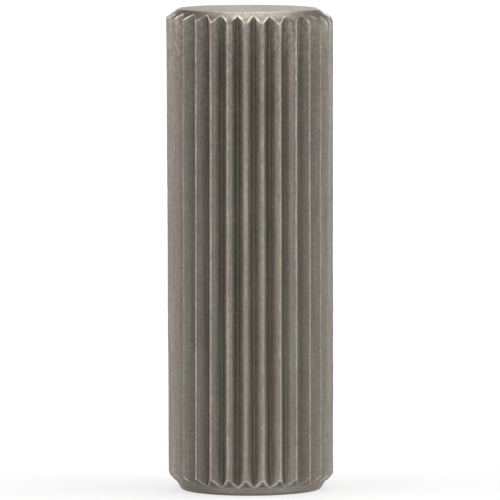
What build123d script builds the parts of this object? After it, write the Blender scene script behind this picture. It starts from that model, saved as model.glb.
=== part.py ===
from build123d import *
import math
import os

# Straight-knurled press-fit pin, one piece of steel bar: the ends are turned first,
# then grooves are rolled along its whole length. Millimetres and degrees.
# The pin stands on its lead-in end: the origin is the centre of that end face,
# +Z runs up the axis, and one crest of the knurl faces +X.

# Pin
pin_length = 19.05
crest_diameter = 6.56

# Knurl
tooth_count = 29
groove_angle = 86.0
crest_radius = 0.10
root_radius = 0.03

# Head end, a chamfer that bulges out by its crown
head_chamfer_width = 0.50
head_chamfer_height = 0.43
head_crown = 0.035

# Lead-in end, a steep nose below the chamfered teeth
nose_width = 0.20
nose_height = 0.315
lead_chamfer_width = 0.31
lead_chamfer_height = 0.32
lead_crown = 0.03

# Rounded shoulder where a crest runs out into either end
shoulder_radius = 0.25
stock_allowance = 0.02


def knurl_section():
    """Cross-section of the knurl: a star of straight flanks with rounded crests and roots."""
    half_pitch = 180.0 / tooth_count
    half_groove = groove_angle / 2
    half_tooth = half_groove - half_pitch

    # Rounding takes this much off a sharp crest, and the groove's flanks then fix its sharp root.
    crest_loss = crest_radius * (1 / math.sin(math.radians(half_tooth)) - 1)
    sharp_crest = crest_diameter / 2 + crest_loss
    sharp_root = sharp_crest * math.sin(math.radians(half_tooth)) / math.sin(math.radians(half_groove))

    crests = [Vector(sharp_crest, 0).rotate(Axis.Z, 2 * i * half_pitch) for i in range(tooth_count)]
    roots = [Vector(sharp_root, 0).rotate(Axis.Z, (2 * i + 1) * half_pitch) for i in range(tooth_count)]
    outline = [point for pair in zip(crests, roots) for point in pair]
    section = make_face(Polyline(*outline, close=True))

    middle = (sharp_crest + sharp_root) / 2
    crest_corners = section.vertices().filter_by(lambda v: Vector(v.X, v.Y).length > middle)
    section = fillet(crest_corners, crest_radius)
    root_corners = section.vertices().filter_by(lambda v: Vector(v.X, v.Y).length < middle)
    return fillet(root_corners, root_radius)


def turned_blank():
    """Bar with both ends turned. Its side stands just clear of the crests, so that only the ends cut them."""
    crest = crest_diameter / 2
    side = crest + stock_allowance
    head_rim = crest - head_chamfer_width
    nose_top = crest - lead_chamfer_width
    nose_rim = nose_top - nose_width
    lead_slope = lead_chamfer_height / lead_chamfer_width
    head_slope = head_chamfer_height / head_chamfer_width
    lead_shoulder = nose_height + lead_chamfer_height + stock_allowance * lead_slope
    head_shoulder = pin_length - head_chamfer_height - stock_allowance * head_slope

    lead_chamfer = SagittaArc((nose_top, nose_height), (side, lead_shoulder), -lead_crown)
    head_chamfer = SagittaArc((side, head_shoulder), (head_rim, pin_length), -head_crown)
    straight_sides = [
        Polyline((head_rim, pin_length), (0, pin_length), (0, 0), (nose_rim, 0), (nose_top, nose_height)),
        Line((side, lead_shoulder), (side, head_shoulder)),
    ]
    profile = make_face([*straight_sides, lead_chamfer, head_chamfer])
    shoulders = profile.vertices().filter_by(lambda v: v.X > crest)
    profile = fillet(shoulders, shoulder_radius)
    return revolve(Plane.XZ * profile, Axis.Z)


def knurled_pin():
    """The whole pin: the knurled bar, kept where it lies inside the turned blank."""
    knurled_bar = extrude(knurl_section(), pin_length)
    return knurled_bar & turned_blank()


os.makedirs("parts", exist_ok=True)
export_step(knurled_pin(), "parts/knurled_pin.step")
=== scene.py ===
import math
import random

import bmesh
import bpy
from mathutils import Matrix, Vector, noise


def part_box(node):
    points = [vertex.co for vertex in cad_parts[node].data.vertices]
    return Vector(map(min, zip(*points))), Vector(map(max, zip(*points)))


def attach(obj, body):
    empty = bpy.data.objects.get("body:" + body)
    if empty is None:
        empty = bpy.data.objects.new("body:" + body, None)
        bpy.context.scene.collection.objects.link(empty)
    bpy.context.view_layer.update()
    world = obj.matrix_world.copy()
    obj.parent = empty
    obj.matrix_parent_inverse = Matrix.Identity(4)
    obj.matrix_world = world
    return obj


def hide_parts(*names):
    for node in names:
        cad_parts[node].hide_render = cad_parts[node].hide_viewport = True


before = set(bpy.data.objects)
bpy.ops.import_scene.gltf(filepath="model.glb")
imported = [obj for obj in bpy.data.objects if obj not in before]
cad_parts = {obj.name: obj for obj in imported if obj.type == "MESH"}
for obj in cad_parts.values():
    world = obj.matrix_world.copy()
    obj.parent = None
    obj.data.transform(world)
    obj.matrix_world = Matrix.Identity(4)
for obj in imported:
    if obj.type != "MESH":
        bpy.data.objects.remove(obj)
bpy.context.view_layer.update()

# Straight-knurled steel pin, standing on its lead-in end. Its mesh is made in millimetres and
# brought to metres when it is finished. Angles are degrees.
MM = 0.001
PIN = "knurled_pin"

# Pin, from the frame
pin_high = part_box(PIN)[1]
pin_length = pin_high.z / MM
crest = pin_high.x / MM

# Knurl
tooth_count = 29
groove_angle = 86.0
crest_radius = 0.10
root_radius = 0.03
crest_segments = 6
root_segments = 4
flank_cuts = 3

# Head end, a chamfer that bulges out by its crown
head_chamfer_width = 0.50
head_chamfer_height = 0.43
head_crown = 0.035

# Lead-in end, a steep nose below the chamfered teeth
nose_width = 0.20
nose_height = 0.315
lead_chamfer_width = 0.31
lead_chamfer_height = 0.32
lead_crown = 0.03

# Rounded shoulder where a crest runs out into either end
shoulder_radius = 0.25
stock_allowance = 0.02

# Broken edges: where the teeth run out, and round the two end faces
head_edge = 0.045
lead_edge = 0.08
head_rim_edge = 0.04
nose_rim_edge = 0.015
edge_segments = 4
edge_support = 0.03

# Grooves whose floors rise towards the ends, at the head most on its two sides
head_floor_rise = 0.045
side_floor_rise = 0.075
lead_floor_rise = 0.03
floor_rise_reach = 1.7

# Rows of the mesh, from the wall over each end to its middle
wall_rows = 96
head_margin = 0.85
lead_margin = 1.2
head_row_shares = (0.86, 0.72, 0.58, 0.44, 0.3, 0.15, 0.0)
lead_row_shares = (0.75, 0.5, 0.25, 0.0)
nose_row_shares = (0.66, 0.33, 0.0)
face_row_shares = (0.96, 0.75, 0.5, 0.25)

# Errors of rolling and handling, from fixed noise. Those of the teeth fade out down to the radius of
# the error floor, and those of a run-out within the error reach of its end.
rolling_seed = 27275
pitch_error = 0.74
run_out_error = 0.035
wall_wave = 0.008
wall_wave_length = 2.6
crest_wander = 0.008
crest_wander_size = 0.5
wall_taper = 0.02
head_out_of_square = 0.2
out_of_square_reach = 4.0
head_off_centre = (-0.055, 0.0)
edge_nick = 0.03
edge_nick_size = 0.14
error_reach = 1.6
error_floor = 2.83

# Teeth that lean on one side of the pin, in degrees to the millimetre above the pivot
tooth_lean = 0.13
lean_pivot = 6.0
lean_bearing = -172.0

# Last steps of the mesh
smooth_angle = 40.0
merge_distance = 0.0005

# Colours of the steel: two tints, and the one at a glancing angle
cool_tint = (0.255, 0.245, 0.208, 1)
warm_tint = (0.278, 0.242, 0.213, 1)
glancing_tint = (0.98, 0.945, 0.88, 1)

# Studio, in metres and degrees
floor_radius = 1.5
floor_sides = 96
floor_colour = (0.95, 0.95, 0.95, 1)
floor_roughness = 0.9
floor_own_white = 0.6
sky_colour = (1, 1, 1, 1)
sky_strength = 0.175
lamp_edge_blend = 0.6
lamp_bulb_radius = 0.05
behind = 180.0

# Camera, from the photo's rims and sides. The scale is millimetres to a pixel, the nearest and
# farthest that it sees are metres.
view_azimuth = -5.48
view_elevation = 4.85
view_roll = 0.168
view_distance = 300.0
view_scale = 0.0396
picture_size = 500
pin_centre_in_picture = (250.45, 248.6)
sensor_width = 36.0
nearest_seen = 0.01
farthest_seen = 10.0


# Mesh


def edit_mesh(obj):
    """The edit-mode mesh of obj, with its lookup tables up to date."""
    mesh = bmesh.from_edit_mesh(obj.data)
    mesh.verts.ensure_lookup_table()
    mesh.edges.ensure_lookup_table()
    return mesh


def select_vertices(obj, wanted):
    """Selects in edit mode the vertices for which wanted is true, with the edges between them."""
    bpy.ops.mesh.select_mode(type="VERT")
    bpy.ops.mesh.select_all(action="DESELECT")
    mesh = edit_mesh(obj)
    for vertex in mesh.verts:
        if wanted(vertex):
            vertex.select_set(True)
    mesh.select_flush(True)
    bmesh.update_edit_mesh(obj.data)


def select_edges(obj, wanted):
    """Selects in edit mode the edges for which wanted is true."""
    bpy.ops.mesh.select_mode(type="EDGE")
    bpy.ops.mesh.select_all(action="DESELECT")
    mesh = edit_mesh(obj)
    for edge in mesh.edges:
        if wanted(edge):
            edge.select_set(True)
    bmesh.update_edit_mesh(obj.data)


def bearing_of(point):
    return math.atan2(point.y, point.x)


def knurl_outline():
    """The knurl's cross-section, in edit mode: a star of edges with rounded crests and roots.
    One crest is on +X."""
    half_pitch = 180.0 / tooth_count
    half_groove = groove_angle / 2
    half_tooth = half_groove - half_pitch
    sharp_crest = crest + crest_radius * (1 / math.sin(math.radians(half_tooth)) - 1)
    sharp_root_share = math.sin(math.radians(half_tooth)) / math.sin(math.radians(half_groove))
    middle = sharp_crest * (1 + sharp_root_share) / 2
    flank = sharp_crest * (1 - sharp_root_share)

    bpy.ops.object.select_all(action="DESELECT")
    bpy.ops.mesh.primitive_circle_add(
        vertices=2 * tooth_count, radius=sharp_crest, fill_type="NGON", rotation=(0, 0, -math.pi / 2)
    )
    pin = bpy.context.object
    bpy.ops.object.transform_apply(location=False, rotation=True, scale=False)
    bpy.ops.object.mode_set(mode="EDIT")
    select_vertices(pin, lambda v: v.index % 2 == 1)
    bpy.ops.transform.resize(value=(sharp_root_share, sharp_root_share, 1), center_override=(0, 0, 0))

    crest_tangent = crest_radius / math.tan(math.radians(half_tooth))
    select_vertices(pin, lambda v: v.co.xy.length > middle)
    bpy.ops.mesh.bevel(offset=crest_tangent, segments=crest_segments, affect="VERTICES")
    root_tangent = root_radius / math.tan(math.radians(half_groove))
    select_vertices(pin, lambda v: v.co.xy.length < middle)
    bpy.ops.mesh.bevel(offset=root_tangent, segments=root_segments, affect="VERTICES")
    select_edges(pin, lambda e: e.calc_length() > flank / 2)
    bpy.ops.mesh.subdivide(number_cuts=flank_cuts)
    bpy.ops.mesh.select_all(action="SELECT")
    bpy.ops.mesh.delete(type="ONLY_FACE")
    return pin


def raised_floors(outline, rise, side_rise, share):
    """The outline where the grooves run out: a share of the rise at their roots, and none on the
    crests."""
    root = min(point.length for point in outline)
    raised = []
    for point in outline:
        deep = (crest - point.length) / (crest - root)
        lift = (rise + side_rise * abs(point.x) / crest) * deep * share
        raised.append(point * (1 + lift / point.length))
    return raised


def outline_normals(outline):
    """Outward normal at each point of the closed outline, the mean of its two edges' normals."""
    normals = []
    for i, point in enumerate(outline):
        before = (point - outline[i - 1]).normalized()
        after = (outline[(i + 1) % len(outline)] - point).normalized()
        along = (before + after).normalized()
        normals.append(Vector((along.y, -along.x)))
    return normals


def crowned_chamfer(inner, outer, crown):
    """A chamfer from inner to outer, both (radius, depth), that bulges out by crown and is rounded off
    where it meets the bar's side. Gives the depth below the end face and the normal at any radius."""
    (inner_radius, inner_depth), (outer_radius, outer_depth) = inner, outer
    chord = math.hypot(outer_radius - inner_radius, outer_depth - inner_depth)
    arc = (chord ** 2 / 4 + crown ** 2) / (2 * crown)
    arc_across = (inner_radius + outer_radius) / 2 - (arc - crown) * (outer_depth - inner_depth) / chord
    arc_deep = (inner_depth + outer_depth) / 2 + (arc - crown) * (outer_radius - inner_radius) / chord
    turn_across = outer_radius - shoulder_radius
    turn_deep = arc_deep - math.sqrt((arc - shoulder_radius) ** 2 - (turn_across - arc_across) ** 2)
    meeting = arc_across + (turn_across - arc_across) * arc / (arc - shoulder_radius)

    def surface(radius):
        across, deep, size = arc_across, arc_deep, arc
        if radius > meeting:
            across, deep, size = turn_across, turn_deep, shoulder_radius
        out = (radius - across) / size
        up = math.sqrt(1 - out ** 2)
        return deep - size * up, Vector((out, up))

    return surface


# Ends of the turned bar: radii, slopes and depths below the end faces
side = crest + stock_allowance
head_rim = crest - head_chamfer_width
head_slope = head_chamfer_height / head_chamfer_width
nose_top = crest - lead_chamfer_width
nose_rim = nose_top - nose_width
lead_slope = lead_chamfer_height / lead_chamfer_width
lead_shoulder = nose_height + lead_chamfer_height + stock_allowance * lead_slope

head_chamfer = crowned_chamfer(
    (head_rim, 0.0), (side, head_chamfer_height + stock_allowance * head_slope), head_crown
)
lead_chamfer = crowned_chamfer((nose_top, nose_height), (side, lead_shoulder), lead_crown)


def lead_end(radius):
    """The lead-in end's surface: the chamfer on the teeth, and the straight nose inside it."""
    if radius > nose_top:
        return lead_chamfer(radius)
    slope = nose_height / nose_width
    return slope * (radius - nose_rim), Vector((slope, 1)).normalized()


def run_out(point, normal, surface, edge):
    """The rounded edge between the wall at an outline point and the turned end.
    Gives (place, depth) from the wall to the end."""
    inset = point - normal * edge
    depth, up = surface(inset.length)
    centre = depth + edge / up.y
    outward = inset.normalized()
    wall_side = Vector((normal.x, normal.y, 0))
    end_side = Vector((outward.x * up.x, outward.y * up.x, up.y))
    steps = [(point, centre + edge_support)]
    for k in range(edge_segments + 1):
        lean = wall_side.slerp(end_side, k / edge_segments)
        steps.append((inset + lean.xy * edge, centre - lean.z * edge))
    return steps


def end_path(point, normal, surface, edge, rim, rim_edge, stations, centre):
    """One column's way from the wall to near the middle of the end face, as (place, depth).
    The stations are (radius, shares): the rows towards that radius from the one before.
    The end was turned about the given centre."""
    path = run_out(point - centre, normal, surface, edge)
    place = path[-1][0]
    outward = place.normalized()
    radius = place.length
    rim_up = surface(rim)[1]
    slope = rim_up.x / rim_up.y
    turn = rim - rim_edge * rim_up.x + rim_edge * (1 - rim_up.y) / slope
    for target, shares in stations:
        goal = min(target, radius - edge_support)
        if target == rim:
            goal = turn + rim_edge * rim_up.x
        first = radius
        for share in shares:
            radius = goal + (first - goal) * share
            path.append((outward * radius, surface(radius)[0]))
    for k in range(1, edge_segments + 1):
        lean = rim_up.slerp(Vector((0, 1)), k / edge_segments)
        path.append((outward * (turn + rim_edge * lean.x), rim_edge * (1 - lean.y)))
    for share in face_row_shares:
        path.append((outward * turn * share, 0.0))
    return [(place + centre, depth) for place, depth in path]


def selected_ring(pin):
    """The selected ring's vertices, in order round the axis."""
    return sorted((v for v in edit_mesh(pin).verts if v.select), key=lambda v: bearing_of(v.co))


def next_ring(pin, places):
    """Extrudes the selected ring of edges and moves its points to the given places, in order round
    the axis."""
    bpy.ops.mesh.extrude_edges_move()
    ring = selected_ring(pin)
    for vertex, place in zip(ring, places):
        vertex.co = place
    bmesh.update_edit_mesh(pin.data)
    return ring


def close_end(pin, paths, height):
    """Draws the selected ring of the wall along the columns' paths and closes it at the middle of
    the end face."""
    turned_from = edge_segments // 2 + 1
    faced_from = len(paths[0]) - len(face_row_shares)
    rim_from = faced_from - edge_segments - 1
    for row in range(len(paths[0])):
        places = [Vector((*path[row][0], height(path[row][1]))) for path in paths]
        ring = next_ring(pin, places)
        layers = edit_mesh(pin).verts.layers.float
        for vertex in ring:
            vertex[layers["run_out"]] = 1.0 if 0 < row <= edge_segments + 1 else 0.0
            vertex[layers["turned"]] = 1.0 if row >= turned_from else 0.0
            vertex[layers["faced"]] = 1.0 if row >= faced_from else 0.0
            vertex[layers["rim"]] = 1.0 if rim_from <= row < faced_from else 0.0
    bpy.ops.mesh.extrude_edges_move()
    bpy.ops.mesh.merge(type="CENTER")


def build_pin():
    """The pin: the knurl's outline drawn up the bar, with both ends turned, faced and broken at
    their edges."""
    pin = knurl_outline()
    pin.name = "pin_body"
    pin.data.name = "pin_body"
    bpy.ops.mesh.select_mode(type="VERT")
    bpy.ops.mesh.select_all(action="SELECT")
    bpy.ops.transform.translate(value=(0, 0, lead_margin))
    mesh = edit_mesh(pin)
    for zone in ("crest_depth", "run_out", "turned", "faced", "rim"):
        mesh.verts.layers.float.new(zone)
    ring = selected_ring(pin)
    crest_depth = edit_mesh(pin).verts.layers.float["crest_depth"]
    for vertex in ring:
        vertex[crest_depth] = crest - vertex.co.xy.length
    columns = len(ring)
    outline = [v.co.xy for v in ring]
    step = (pin_length - head_margin - lead_margin) / wall_rows
    for row in range(1, wall_rows + 1):
        height = lead_margin + row * step
        share = max(1 - (pin_length - height) / floor_rise_reach, 0.0)
        level_outline = raised_floors(outline, head_floor_rise, side_floor_rise, share)
        next_ring(pin, [Vector((*p, height)) for p in level_outline])

    head_stations = [(head_rim, head_row_shares)]
    lead_stations = [(nose_top, lead_row_shares), (nose_rim, nose_row_shares)]
    head_centre = Vector(head_off_centre)
    lead_centre = Vector((0, 0))
    head_outline = raised_floors(outline, head_floor_rise, side_floor_rise, 1.0)
    lead_outline = raised_floors(outline, lead_floor_rise, 0.0, 1.0)
    head_paths = [
        end_path(p, n, head_chamfer, head_edge, head_rim, head_rim_edge, head_stations, head_centre)
        for p, n in zip(head_outline, outline_normals(head_outline))
    ]
    lead_paths = [
        end_path(p, n, lead_end, lead_edge, nose_rim, nose_rim_edge, lead_stations, lead_centre)
        for p, n in zip(lead_outline, outline_normals(lead_outline))
    ]
    close_end(pin, head_paths, lambda depth: pin_length - depth)
    select_vertices(pin, lambda v: v.index < columns)
    close_end(pin, lead_paths, lambda depth: depth)

    bpy.ops.mesh.select_all(action="SELECT")
    bpy.ops.mesh.remove_doubles(threshold=merge_distance)
    bpy.ops.mesh.normals_make_consistent(inside=False)
    bpy.ops.object.mode_set(mode="OBJECT")
    rolling_errors(pin)
    bpy.ops.object.shade_smooth_by_angle(angle=math.radians(smooth_angle))
    pin.scale = (MM, MM, MM)
    bpy.ops.object.transform_apply(location=False, rotation=False, scale=True)
    return pin


def between_teeth(values, tooth):
    """The values, one to a tooth, at a place that may lie between two teeth."""
    one = int(tooth) % tooth_count
    other = (one + 1) % tooth_count
    share = tooth - int(tooth)
    return values[one] * (1 - share) + values[other] * share


def rolling_errors(pin):
    """Small errors of the real pin: uneven pitch, leaning teeth, run-outs of unequal height, a wavy
    and tapered wall, nicked edges and a head end out of square."""
    chance = random.Random(rolling_seed)
    noise.seed_set(rolling_seed)
    head_tilt = math.tan(math.radians(head_out_of_square))
    pitch = 2 * math.pi / tooth_count
    turns = [chance.uniform(-pitch_error, pitch_error) for _ in range(tooth_count)]
    head_lifts = [chance.uniform(-run_out_error, run_out_error) for _ in range(tooth_count)]
    lead_lifts = [chance.uniform(-run_out_error, run_out_error) for _ in range(tooth_count)]
    nicked = pin.data.attributes["run_out"].data

    for vertex in pin.data.vertices:
        place = vertex.co.copy()
        bearing = bearing_of(place)
        near_head = max(1 - (pin_length - place.z) / error_reach, 0.0)
        near_lead = max(1 - place.z / error_reach, 0.0)
        tilted = max(1 - (pin_length - place.z) / out_of_square_reach, 0.0)
        tooth_part = min(max((place.xy.length - error_floor) / (crest - error_floor), 0.0), 1.0)
        tooth = (bearing / pitch) % tooth_count

        lean_share = max(math.cos(bearing - math.radians(lean_bearing)), 0.0)
        lean = tooth_lean * (place.z - lean_pivot) * lean_share
        turn = between_teeth(turns, tooth) * tooth_part + lean
        place.z -= head_tilt * place.x * tilted
        place.rotate(Matrix.Rotation(math.radians(turn), 3, "Z"))

        head_lift = between_teeth(head_lifts, tooth) * near_head
        lead_lift = between_teeth(lead_lifts, tooth) * near_lead
        place.z += (head_lift + lead_lift) * tooth_part

        wave = noise.noise(Vector((place.x, place.y, place.z / wall_wave_length)))
        taper = wall_taper * (2 * place.z / pin_length - 1)
        place.xy *= 1 + (wall_wave * wave + taper) * tooth_part / crest
        wander = noise.noise_vector(place / crest_wander_size) * crest_wander * tooth_part
        place.xy += wander.xy
        nick = nicked[vertex.index].value * edge_nick * tooth_part
        place += noise.noise_vector(place / edge_nick_size) * nick
        vertex.co = place


# Finish


class Steel:
    """The pin's one material, a graph of nodes on its shader. Places are read in millimetres."""

    def __init__(self):
        self.material = bpy.data.materials.new("rolled_steel")
        self.material.use_nodes = True
        self.tree = self.material.node_tree
        self.shader = self.tree.nodes["Principled BSDF"]
        self.shader.inputs["Metallic"].default_value = 1.0
        self.shader.inputs["Specular Tint"].default_value = glancing_tint
        self.place = self.add("ShaderNodeTexCoord").outputs["Object"]

    def add(self, kind, **settings):
        made = self.tree.nodes.new(kind)
        for name, value in settings.items():
            setattr(made, name, value)
        return made

    def feed(self, socket, value):
        """Sets a socket to a number or a colour, or links it to another node's output."""
        if isinstance(value, bpy.types.NodeSocket):
            self.tree.links.new(value, socket)
        else:
            socket.default_value = value

    def stretched(self, across, along):
        """Places with so many noise cells to the millimetre, across the pin and along it."""
        mapping = self.add("ShaderNodeMapping")
        self.feed(mapping.inputs["Vector"], self.place)
        mapping.inputs["Scale"].default_value = (across / MM, across / MM, along / MM)
        return mapping.outputs["Vector"]

    def speckle(self, across, along, detail=2.0, roughness=0.5):
        """Noise from 0 to 1, its middle at a half."""
        texture = self.add("ShaderNodeTexNoise")
        self.feed(texture.inputs["Vector"], self.stretched(across, along))
        texture.inputs["Scale"].default_value = 1.0
        texture.inputs["Detail"].default_value = detail
        texture.inputs["Roughness"].default_value = roughness
        return texture.outputs["Fac"]

    def rings(self, cells):
        """Noise that changes only with the distance from the axis, as a turning tool's marks do."""
        flat = self.add("ShaderNodeVectorMath", operation="LENGTH")
        self.feed(flat.inputs[0], self.stretched(cells, 0.0))
        texture = self.add("ShaderNodeTexNoise", noise_dimensions="1D")
        self.feed(texture.inputs["W"], flat.outputs["Value"])
        texture.inputs["Scale"].default_value = 1.0
        texture.inputs["Detail"].default_value = 3.0
        return texture.outputs["Fac"]

    def place_along(self, axis):
        """The place along X, Y or Z."""
        split = self.add("ShaderNodeSeparateXYZ")
        self.feed(split.inputs["Vector"], self.stretched(1.0, 1.0))
        return split.outputs[axis]

    def zone(self, name):
        """What the mesh says of a place: its share of a zone, or its depth below the crests."""
        return self.add("ShaderNodeAttribute", attribute_name=name).outputs["Fac"]

    def span(self, value, low, high, to_low, to_high):
        """The value's stretch from low to high, mapped to another stretch and held at its ends."""
        mapping = self.add("ShaderNodeMapRange")
        self.feed(mapping.inputs["Value"], value)
        mapping.inputs["From Min"].default_value = low
        mapping.inputs["From Max"].default_value = high
        self.feed(mapping.inputs["To Min"], to_low)
        self.feed(mapping.inputs["To Max"], to_high)
        return mapping.outputs["Result"]

    def between(self, share, first, second):
        """From first to second as the share goes from 0 to 1."""
        return self.span(share, 0.0, 1.0, first, second)

    def combine(self, operation, first, second):
        made = self.add("ShaderNodeMath", operation=operation)
        self.feed(made.inputs[0], first)
        self.feed(made.inputs[1], second)
        return made.outputs["Value"]

    def times(self, first, second):
        return self.combine("MULTIPLY", first, second)

    def scaled(self, level, value, low, high, to_low, to_high):
        """The level times the value, which is first mapped as span maps it."""
        return self.times(level, self.span(value, low, high, to_low, to_high))

    def mix(self, share, first, second):
        """A mix of two colours. A Mix node's sockets for colours come after those for other kinds."""
        made = self.add("ShaderNodeMix", data_type="RGBA")
        self.feed(made.inputs[0], share)
        self.feed(made.inputs[6], first)
        self.feed(made.inputs[7], second)
        return made.outputs[2]

    def shade(self, colour, level):
        """The colour times a level."""
        made = self.add("ShaderNodeVectorMath", operation="SCALE")
        self.feed(made.inputs[0], colour)
        self.feed(made.inputs["Scale"], level)
        return made.outputs["Vector"]

    def bump(self, height, strength, depth, under=None):
        """Relief of so many millimetres, on top of the relief under it."""
        made = self.add("ShaderNodeBump")
        self.feed(made.inputs["Height"], height)
        self.feed(made.inputs["Strength"], strength)
        made.inputs["Distance"].default_value = depth * MM
        if under is not None:
            self.feed(made.inputs["Normal"], under)
        return made.outputs["Normal"]


def steel_finish():
    """Bare rolled steel: drawing marks along the teeth, burnished crests with painted highlights,
    painted shade in the roots and on the sides, painted light and shade on the turned ends, and grain.
    A level is how bright a place is, as a multiple of the steel's tint."""
    steel = Steel()
    turned = steel.zone("turned")
    faced = steel.zone("faced")
    broken_edge = steel.zone("run_out")
    rim = steel.zone("rim")
    crest_depth = steel.zone("crest_depth")
    rolled = steel.combine("SUBTRACT", 1.0, turned)
    height = steel.place_along("Z")
    across = steel.place_along("X")
    aside = steel.combine("ABSOLUTE", across, 0.0)
    at_head = steel.span(height, 5.0, 9.0, 0.0, 1.0)
    near_head = steel.span(height, 13.5, 18.5, 0.0, 1.0)

    # Marks and grain, and the stretches of their noise that are put to use
    wide, middling, narrow = (0.25, 0.75), (0.3, 0.7), (0.35, 0.65)
    drawing = steel.speckle(17.0, 0.22, detail=3.0, roughness=0.6)
    hairlines = steel.speckle(42.0, 0.5)
    stripes = steel.speckle(2.6, 0.1)
    grain = steel.speckle(13.0, 11.0, roughness=0.6)
    coarse_grain = steel.speckle(8.0, 6.0, roughness=0.6)
    patches = steel.speckle(0.9, 0.35, detail=3.0)
    roll_marks = steel.speckle(0.8, 9.0)
    crest_breaks = steel.speckle(1.5, 2.2, detail=3.0, roughness=0.65)
    crest_beads = steel.speckle(6.0, 9.0, detail=3.0, roughness=0.65)
    edge_breaks = steel.speckle(3.0, 3.0)
    tool_marks = steel.rings(26.0)
    nose_marks = steel.speckle(0.3, 22.0, roughness=0.7)
    face_mottle = steel.speckle(1.2, 1.2, detail=4.0, roughness=0.65)

    # Rolled teeth: painted shade from the upper flanks into the roots, on the far left and right and in
    # one strip, painted light in another strip, a little lighter towards the head, and crests burnished
    # in beads with painted highlights
    # Painted shade: the upper flanks a little lighter than the deep parts, the roots darker, and the
    # deep parts darker still on the left
    painted_root_shade = steel.span(across, -1.8, -1.45, 0.68, 0.86)
    painted_left_deep_shade = steel.span(across, -1.5, -1.1, 0.74, 1.0)
    # Painted light on a strip near the middle, and painted shade on a strip to its right
    painted_light_strip = steel.span(across, -0.02, 0.08, 1.18, 1.0)
    painted_shade_strip = steel.span(across, 1.96, 2.08, 0.78, 1.0)
    teeth_burnish_and_painted_shading = steel.span(crest_depth, 0.07, 0.28, 1.05, 1.0)
    teeth_burnish_and_painted_shading = steel.scaled(teeth_burnish_and_painted_shading, crest_depth, 0.285, 0.315, 1.0, painted_root_shade)
    teeth_burnish_and_painted_shading = steel.scaled(teeth_burnish_and_painted_shading, crest_depth, 0.08, 0.3, 1.0, painted_left_deep_shade)
    # Painted shade on the far left and far right teeth, and the teeth a little lighter towards the head
    teeth_burnish_and_painted_shading = steel.scaled(teeth_burnish_and_painted_shading, across, -2.3, -1.5, 0.87, 1.0)
    teeth_burnish_and_painted_shading = steel.scaled(teeth_burnish_and_painted_shading, across, -0.42, -0.32, 1.0, painted_light_strip)
    teeth_burnish_and_painted_shading = steel.scaled(teeth_burnish_and_painted_shading, across, 1.62, 1.74, 1.0, painted_shade_strip)
    teeth_burnish_and_painted_shading = steel.scaled(teeth_burnish_and_painted_shading, across, 2.92, 3.0, 1.0, 0.76)
    teeth_burnish_and_painted_shading = steel.times(teeth_burnish_and_painted_shading, steel.between(near_head, 1.0, 1.05))
    # Crests burnished in beads and brightened as a painted highlight, weaker at the far left and on the
    # right, with more contrast in the beads near the head
    dull_bead_and_highlight = steel.between(near_head, 0.95, 0.75)
    bright_bead_and_highlight = steel.between(near_head, 1.05, 1.12)
    burnish_and_painted_highlight = steel.span(crest_breaks, *narrow, 1.08, 1.46)
    burnish_and_painted_highlight = steel.scaled(burnish_and_painted_highlight, across, -2.8, -2.4, 0.86, 1.0)
    burnish_and_painted_highlight = steel.scaled(burnish_and_painted_highlight, across, 1.4, 2.6, 1.0, 0.74)
    burnish_and_painted_highlight = steel.scaled(burnish_and_painted_highlight, crest_beads, *narrow, dull_bead_and_highlight, bright_bead_and_highlight)
    teeth_burnish_and_painted_shading = steel.scaled(teeth_burnish_and_painted_shading, crest_depth, 0.004, 0.014, burnish_and_painted_highlight, 1.0)

    # Turned ends: nose and chamfers, then the faces and their rims, with painted light and shade on
    # each
    # Nose: turning marks, with painted shade on its sides; painted shade on the lead chamfer above it
    nose_marks_and_painted_shade = steel.span(nose_marks, *middling, 0.8, 1.24)
    nose_marks_and_painted_shade = steel.scaled(nose_marks_and_painted_shade, aside, 1.0, 2.6, 1.0, 0.64)
    lead_marks_and_painted_shade = steel.span(height, 0.3, 0.42, nose_marks_and_painted_shade, 0.5)
    # Head chamfer: painted shade on its lower part, most on the right, and painted light on its upper
    # part, more on the right
    painted_shoulder_shade = steel.span(across, 0.4, 1.4, 0.85, 0.45)
    head_painted_light_and_shade = steel.span(height, 18.5, 18.85, painted_shoulder_shade, 1.3)
    head_painted_light_and_shade = steel.scaled(head_painted_light_and_shade, across, 0.8, 2.4, 1.0, 1.2)
    # Head face: mottled at random, and lighter overall as painted light
    face_mottle_and_painted_light = steel.span(face_mottle, *middling, 0.98, 1.46)
    # Painted highlight on the head rim, strongest from the middle to the right, and painted shade on
    # the lead rim
    painted_head_rim_highlight = steel.span(across, -2.4, -0.9, 1.2, 2.1)
    painted_rim_highlight_and_shade = steel.between(at_head, 0.6, painted_head_rim_highlight)
    end_marks_and_painted_shading = steel.between(at_head, lead_marks_and_painted_shade, head_painted_light_and_shade)
    end_marks_and_painted_shading = steel.between(faced, end_marks_and_painted_shading, face_mottle_and_painted_light)
    end_marks_and_painted_shading = steel.between(rim, end_marks_and_painted_shading, painted_rim_highlight_and_shade)
    # Painted shade on the left of the turned ends
    end_marks_and_painted_shading = steel.scaled(end_marks_and_painted_shading, across, -2.6, -1.0, 0.76, 1.0)

    # The whole: marks and grain, coarser near the head, and broken edges brightened by wear and by
    # painted highlights
    coarse = steel.times(near_head, steel.span(patches, 0.4, 0.6, 0.3, 1.0))
    dull_grain = steel.between(coarse, 0.93, 0.74)
    bright_grain = steel.between(coarse, 1.07, 1.32)
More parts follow.
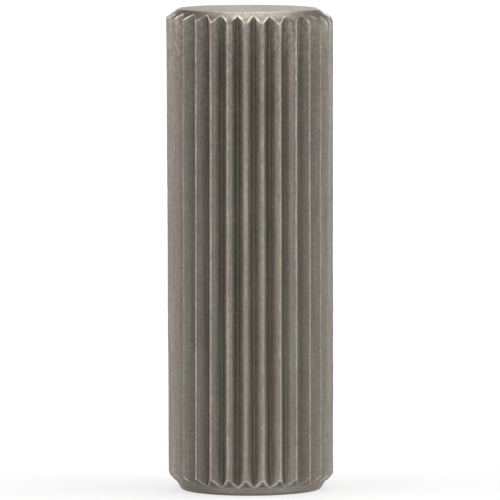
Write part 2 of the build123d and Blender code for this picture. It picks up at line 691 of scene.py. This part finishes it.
    # Broken edges: worn bright metal and a painted highlight, strongest on the head's left and round
    # the lead, faint on the head's right
    right_edge_wear_and_painted_highlight = steel.span(across, 0.8, 2.2, 1.75, 0.7)
    head_edge_wear_and_painted_highlight = steel.span(across, -1.6, 0.8, 2.05, right_edge_wear_and_painted_highlight)
    lead_edge_wear_and_painted_highlight = steel.span(aside, 1.2, 2.6, 1.9, 1.8)
    edge_wear_and_painted_highlight = steel.between(at_head, lead_edge_wear_and_painted_highlight, head_edge_wear_and_painted_highlight)
    edge_wear_and_painted_highlight = steel.scaled(edge_wear_and_painted_highlight, edge_breaks, *narrow, 0.65, 1.15)
    level = steel.between(turned, teeth_burnish_and_painted_shading, end_marks_and_painted_shading)
    level = steel.scaled(level, drawing, *wide, 0.84, 1.16)
    level = steel.scaled(level, hairlines, *wide, 0.9, 1.1)
    level = steel.scaled(level, coarse_grain, *middling, dull_grain, bright_grain)
    level = steel.scaled(level, grain, *middling, 0.9, 1.1)
    level = steel.scaled(level, roll_marks, *middling, 0.96, 1.04)
    level = steel.scaled(level, patches, *middling, 0.94, 1.06)
    level = steel.times(level, steel.between(broken_edge, 1.0, edge_wear_and_painted_highlight))

    # Colour, in cool and warm stripes, times the level with its painted light and shade
    warm_share = steel.span(stripes, *narrow, 0.0, 1.0)
    tint = steel.mix(warm_share, cool_tint, warm_tint)
    steel.feed(steel.shader.inputs["Base Color"], steel.shade(tint, level))

    # Gloss
    roughness = steel.span(crest_depth, 0.02, 0.07, 0.66, 0.43)
    roughness = steel.between(turned, roughness, steel.between(faced, 0.36, 0.5))
    roughness = steel.combine("ADD", roughness, steel.span(drawing, *wide, -0.05, 0.05))
    roughness = steel.combine("ADD", roughness, steel.span(grain, *middling, -0.04, 0.04))
    steel.feed(steel.shader.inputs["Roughness"], roughness)

    # Relief
    relief = steel.bump(drawing, steel.times(rolled, 0.8), 0.008)
    relief = steel.bump(hairlines, steel.times(rolled, 0.6), 0.003, relief)
    relief = steel.bump(grain, 0.6, 0.007, relief)
    relief = steel.bump(tool_marks, steel.times(turned, 0.5), 0.004, relief)
    steel.feed(steel.shader.inputs["Normal"], relief)
    return steel.material


# Studio


def studio_floor():
    """A wide pale floor under the pin. To the camera and in reflections it is part white by itself,
    so that the shadow on it stays light."""
    bpy.ops.object.select_all(action="DESELECT")
    bpy.ops.mesh.primitive_circle_add(
        vertices=floor_sides, radius=floor_radius, fill_type="NGON", location=(0, 0, 0)
    )
    floor = bpy.context.object
    floor.name = "floor"
    material = bpy.data.materials.new("floor_white")
    material.use_nodes = True
    nodes, links = material.node_tree.nodes, material.node_tree.links
    shader = nodes["Principled BSDF"]
    shader.inputs["Base Color"].default_value = floor_colour
    shader.inputs["Roughness"].default_value = floor_roughness
    shader.inputs["Specular IOR Level"].default_value = 0.0
    ray = nodes.new("ShaderNodeLightPath")
    seen = ray.outputs["Is Camera Ray"]
    for other_ray in ("Is Glossy Ray", "Is Transmission Ray"):
        either = nodes.new("ShaderNodeMath")
        either.use_clamp = True
        links.new(seen, either.inputs[0])
        links.new(ray.outputs[other_ray], either.inputs[1])
        seen = either.outputs["Value"]
    share = nodes.new("ShaderNodeMath")
    share.operation = "MULTIPLY"
    links.new(seen, share.inputs[0])
    share.inputs[1].default_value = floor_own_white
    white = nodes.new("ShaderNodeEmission")
    mixed = nodes.new("ShaderNodeMixShader")
    links.new(share.outputs["Value"], mixed.inputs["Fac"])
    links.new(shader.outputs["BSDF"], mixed.inputs[1])
    links.new(white.outputs["Emission"], mixed.inputs[2])
    links.new(mixed.outputs["Shader"], nodes["Material Output"].inputs["Surface"])
    floor.data.materials.append(material)


def lamp_at(name, kind, bearing, distance, height):
    """A lamp at a bearing, in degrees to the right of the camera's own side of the pin."""
    light = bpy.data.lights.new(name, kind)
    lamp = bpy.data.objects.new(name, light)
    turn = math.radians(view_azimuth + bearing)
    lamp.location = (distance * math.sin(turn), -distance * math.cos(turn), height)
    lamp.visible_camera = False
    bpy.context.scene.collection.objects.link(lamp)
    return lamp, light


def softbox(name, bearing, distance, height, size, radiance):
    """A soft light of the given width, height and brightness that faces the pin's middle."""
    lamp, light = lamp_at(name, "AREA", bearing, distance, height)
    light.shape = "RECTANGLE"
    light.size, light.size_y = size
    light.energy = radiance * math.pi * light.size * light.size_y
    aim = Vector((0, 0, pin_high.z / 2)) - lamp.location
    lamp.rotation_euler = aim.to_track_quat("-Z", "Y").to_euler()


def floor_lamp(name, distance, height, spread, energy):
    """A lamp over the floor behind the pin. The pin stands outside its cone."""
    lamp, light = lamp_at(name, "SPOT", behind, distance, height)
    light.spot_size = math.radians(spread)
    light.spot_blend = lamp_edge_blend
    light.shadow_soft_size = lamp_bulb_radius
    light.energy = energy


def studio_light():
    """Even white light all round, and soft lights at the sides, above and behind."""
    world = bpy.data.worlds.new("studio")
    bpy.context.scene.world = world
    world.use_nodes = True
    sky = world.node_tree.nodes["Background"]
    sky.inputs["Color"].default_value = sky_colour
    sky.inputs["Strength"].default_value = sky_strength
    softbox("softbox_left", -84, 0.30, 0.15, (0.36, 0.36), 2.4)
    softbox("softbox_right", 86, 0.30, 0.15, (0.36, 0.36), 2.92)
    softbox("softbox_top", 172, 0.09, 0.45, (0.28, 0.5), 1.6)
    softbox("fill_left", -38, 0.45, 0.12, (0.2, 0.3), 1.45)
    softbox("fill_right", 49, 0.45, 0.12, (0.13, 0.3), 0.75)
    softbox("softbox_back", behind, 0.60, 0.05, (0.36, 0.16), 3.7)
    softbox("back_left", -150, 0.55, 0.33, (0.3, 0.25), 0.15)
    softbox("rim_light", behind, 0.36, 0.38, (0.2, 0.16), 1.5)
    floor_lamp("lamp_behind", 0.42, 1.0, 42.0, 22.0)


def photo_camera():
    """The camera at the photo's angle, distance and framing."""
    azimuth = math.radians(view_azimuth)
    elevation = math.radians(view_elevation)
    back = Vector(
        (
            math.sin(azimuth) * math.cos(elevation),
            -math.cos(azimuth) * math.cos(elevation),
            math.sin(elevation),
        )
    )
    aim = (-back).to_track_quat("-Z", "Y").to_matrix()
    turned = aim @ Matrix.Rotation(math.radians(-view_roll), 3, "Z")
    middle = picture_size / 2
    across = (middle - pin_centre_in_picture[0]) * view_scale * MM
    upward = (pin_centre_in_picture[1] - middle) * view_scale * MM
    centre = Vector((0, 0, pin_high.z / 2)) + turned @ Vector((across, upward, 0))

    data = bpy.data.cameras.new("photo_camera")
    data.sensor_width = sensor_width
    data.lens = view_distance / view_scale * sensor_width / picture_size
    data.clip_start = nearest_seen
    data.clip_end = farthest_seen
    camera = bpy.data.objects.new("photo_camera", data)
    camera.matrix_world = Matrix.Translation(centre + back * view_distance * MM) @ turned.to_4x4()
    bpy.context.scene.collection.objects.link(camera)
    bpy.context.scene.camera = camera


pin = build_pin()
pin.data.materials.append(steel_finish())
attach(pin, "root")
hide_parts(PIN)
studio_floor()
studio_light()
photo_camera()
bpy.context.scene.view_settings.view_transform = "Standard"
